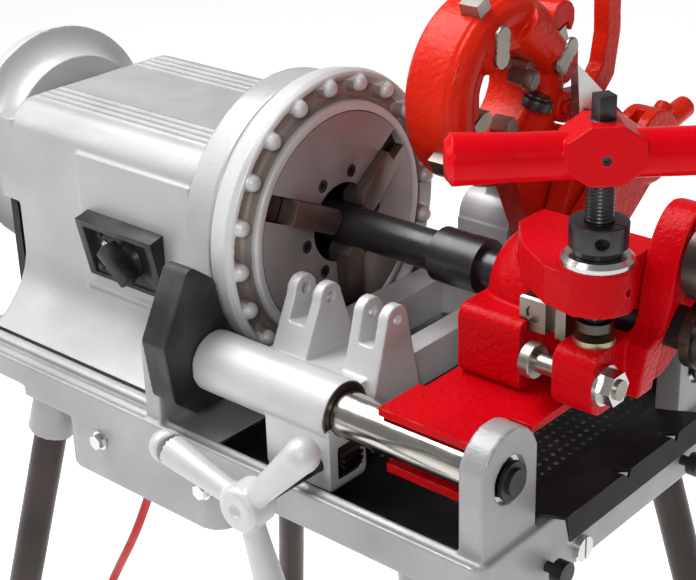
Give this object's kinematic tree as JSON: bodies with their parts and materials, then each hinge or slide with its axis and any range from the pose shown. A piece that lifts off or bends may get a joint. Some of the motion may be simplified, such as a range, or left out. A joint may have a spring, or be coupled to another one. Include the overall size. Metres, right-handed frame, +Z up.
{
  "type": "pipe threading machine",
  "caption": "Portable power pipe threading machine on a splayed tube stand, with hammer chuck, swing-up tools and a clamped roll groover with T-handle.",
  "frame": {"origin": "centre of the object's bounding box at floor level, under the front chuck's face plane", "axes": "+X along the spindle from the rear wheel to the tool end, +Y from the operator to the back, +Z up"},
  "size_m": [0.74, 0.56, 1.114],
  "materials": {
    "grey_paint": "satin silver-grey hammered paint on cast aluminium",
    "light_aluminium": "light satin cast aluminium",
    "brushed_face": "turned steel",
    "dark_steel": "dark oiled steel",
    "black_oxide": "black oxide",
    "chromed": "polished",
    "crimson_paint": "crimson textured paint on cast iron",
    "orange_paint": "orange-red gloss paint on cast iron",
    "black_plastic": "matt",
    "black_paint": "satin black paint on sheet steel",
    "leg_paint": "dark brown-black paint on tube",
    "rubber": "matt",
    "red_rubber": "satin red cord sheath"
  },
  "bodies": {
    "frame": {"base_bolts": "chromed", "base_casting": "grey_paint", "chip_tray": "black_paint", "chuck_shroud": "grey_paint", "cord_coil": "red_rubber", "dished_washer": "chromed", "foot_tips": "rubber", "gear_housing": "grey_paint", "groover_base": "crimson_paint", "groover_body": "crimson_paint", "lever_pivot_pin": "chromed", "lift_handle": "black_paint", "motor_case": "black_paint", "plug": "rubber", "power_cord": "red_rubber", "rail_guard": "rubber", "rail_plugs": "black_plastic", "rails": "chromed", "shaft_bushes": "dark_steel", "spindle_bearings": "dark_steel", "stand_legs": "leg_paint", "stop_block": "chromed", "strain_relief": "rubber", "switch_bezel": "black_plastic", "tray_knobs": "black_plastic"},
    "spindle": {"spindle_tube": "dark_steel", "chuck_body": "brushed_face", "chuck_screws": "black_oxide", "drive_shaft": "black_oxide", "drive_roll": "dark_steel"},
    "motor": {"motor_rotor": "dark_steel"},
    "idler": {"idler_cluster": "dark_steel"},
    "wheel": {"hammer_wheel": "light_aluminium"},
    "jaw_a": {"jaw_1": "dark_steel"},
    "jaw_b": {"jaw_2": "dark_steel"},
    "jaw_c": {"jaw_3": "dark_steel"},
    "rear_chuck": {"rear_wheel": "light_aluminium"},
    "switch": {"switch_knob": "black_plastic"},
    "carriage": {"carriage_casting": "light_aluminium", "tool_hinge_shaft": "dark_steel"},
    "carriage_handle": {"pinion_shaft": "dark_steel", "pinion_handle": "light_aluminium"},
    "threader": {"die_head": "orange_paint", "threading_dies": "dark_steel"},
    "threader_lever": {"die_lever": "orange_paint"},
    "reamer": {"reamer_arm": "orange_paint", "reamer_blade": "brushed_face"},
    "cutter": {"pipe_cutter": "orange_paint"},
    "cutter_feed": {"cutter_screw": "dark_steel"},
    "cutter_disc": {"cutter_wheel": "dark_steel"},
    "feed_pad": {"swivel_pad": "dark_steel"},
    "feed": {"feed_screw": "black_oxide", "depth_nut": "chromed", "t_handle": "crimson_paint"},
    "groover_lever": {"lever_arm": "crimson_paint", "roll_pin": "chromed", "flange_nut": "chromed", "thrust_seat": "chromed", "groove_roll_axle": "chromed"},
    "top_roll": {"groove_roll": "dark_steel"}
  },
  "joints": [
    {"name": "spindle_spin", "type": "hinge", "parent": "frame", "child": "spindle", "pos_m": [0, 0, 0.9], "axis": [1, 0, 0], "continuous": true},
    {"name": "motor_spin", "type": "hinge", "parent": "frame", "child": "motor", "pos_m": [-0.18, -0.058, 0.808], "axis": [1, 0, 0], "continuous": true},
    {"name": "idler_spin", "type": "hinge", "parent": "frame", "child": "idler", "pos_m": [-0.094, -0.045, 0.844], "axis": [1, 0, 0], "continuous": true},
    {"name": "wheel_turn", "type": "hinge", "parent": "spindle", "child": "wheel", "pos_m": [0, 0, 0.9], "axis": [1, 0, 0], "range_deg": [0, 120]},
    {"name": "jaw_a_slide", "type": "slide", "parent": "spindle", "child": "jaw_a", "axis": [0, -0.9063, 0.4226], "range_m": [0, 0.018]},
    {"name": "jaw_b_slide", "type": "slide", "parent": "spindle", "child": "jaw_b", "axis": [0, 0.8192, 0.5736], "range_m": [0, 0.018]},
    {"name": "jaw_c_slide", "type": "slide", "parent": "spindle", "child": "jaw_c", "axis": [0, 0.0872, -0.9962], "range_m": [0, 0.018]},
    {"name": "rear_chuck_turn", "type": "hinge", "parent": "spindle", "child": "rear_chuck", "pos_m": [-0.335, 0, 0.9], "axis": [1, 0, 0], "range_deg": [0, 70]},
    {"name": "switch_turn", "type": "hinge", "parent": "frame", "child": "switch", "pos_m": [-0.137, -0.105, 0.866], "axis": [0, 1, 0], "range_deg": [-45, 45]},
    {"name": "carriage_slide", "type": "slide", "parent": "frame", "child": "carriage", "axis": [1, 0, 0], "range_m": [0, 0.033]},
    {"name": "carriage_handle_turn", "type": "hinge", "parent": "carriage", "child": "carriage_handle", "pos_m": [0.104, -0.22, 0.791], "axis": [0, 1, 0], "range_deg": [-103.9, 0]},
    {"name": "threader_swing", "type": "hinge", "parent": "carriage", "child": "threader", "pos_m": [0.1, 0.125, 0.88], "axis": [1, 0, 0], "range_deg": [0, 15]},
    {"name": "threader_lever_turn", "type": "hinge", "parent": "threader", "child": "threader_lever", "pos_m": [0.1, 0.152, 0.974], "axis": [1, 0, 0], "range_deg": [-30, 0]},
    {"name": "reamer_swing", "type": "hinge", "parent": "carriage", "child": "reamer", "pos_m": [0.1, 0.125, 0.88], "axis": [1, 0, 0], "range_deg": [0, 60]},
    {"name": "cutter_swing", "type": "hinge", "parent": "carriage", "child": "cutter", "pos_m": [0.1, 0.125, 0.88], "axis": [1, 0, 0], "range_deg": [0, 60]},
    {"name": "cutter_feed_turn", "type": "hinge", "parent": "cutter", "child": "cutter_feed", "pos_m": [0.146, 0.22018, 0.94976], "axis": [0, 0.809, 0.5878], "continuous": true},
    {"name": "cutter_disc_spin", "type": "hinge", "parent": "cutter", "child": "cutter_disc", "pos_m": [0.146, 0.184, 0.932], "axis": [1, 0, 0], "continuous": true},
    {"name": "feed_pad_slide", "type": "slide", "parent": "frame", "child": "feed_pad", "axis": [0, 0, 1], "range_m": [0, 0.01]},
    {"name": "feed_turn", "type": "hinge", "parent": "feed_pad", "child": "feed", "pos_m": [0.273, -0.06, 1], "axis": [0, 0, 1], "range_deg": [0, 1440]},
    {"name": "groover_lever_lift", "type": "hinge", "parent": "frame", "child": "groover_lever", "pos_m": [0.297, 0.075, 0.9], "axis": [-1, 0, 0], "range_deg": [0, 4.24]},
    {"name": "top_roll_spin", "type": "hinge", "parent": "groover_lever", "child": "top_roll", "pos_m": [0.325, 0, 0.952], "axis": [1, 0, 0], "continuous": true}
  ],
  "couplings": [
    {"joint": "motor_spin", "follows": "spindle_spin", "ratio": 14.464},
    {"joint": "idler_spin", "follows": "spindle_spin", "ratio": -4.0634},
    {"joint": "jaw_a_slide", "follows": "wheel_turn", "m_per_rad": 0.008594},
    {"joint": "jaw_b_slide", "follows": "wheel_turn", "m_per_rad": 0.008594},
    {"joint": "jaw_c_slide", "follows": "wheel_turn", "m_per_rad": 0.008594},
    {"joint": "carriage_handle_turn", "follows": "carriage_slide", "rad_per_m": -54.945},
    {"joint": "feed_turn", "follows": "feed_pad_slide", "rad_per_m": 2513},
    {"joint": "groover_lever_lift", "follows": "feed_pad_slide", "rad_per_m": 7.4}
  ]
}
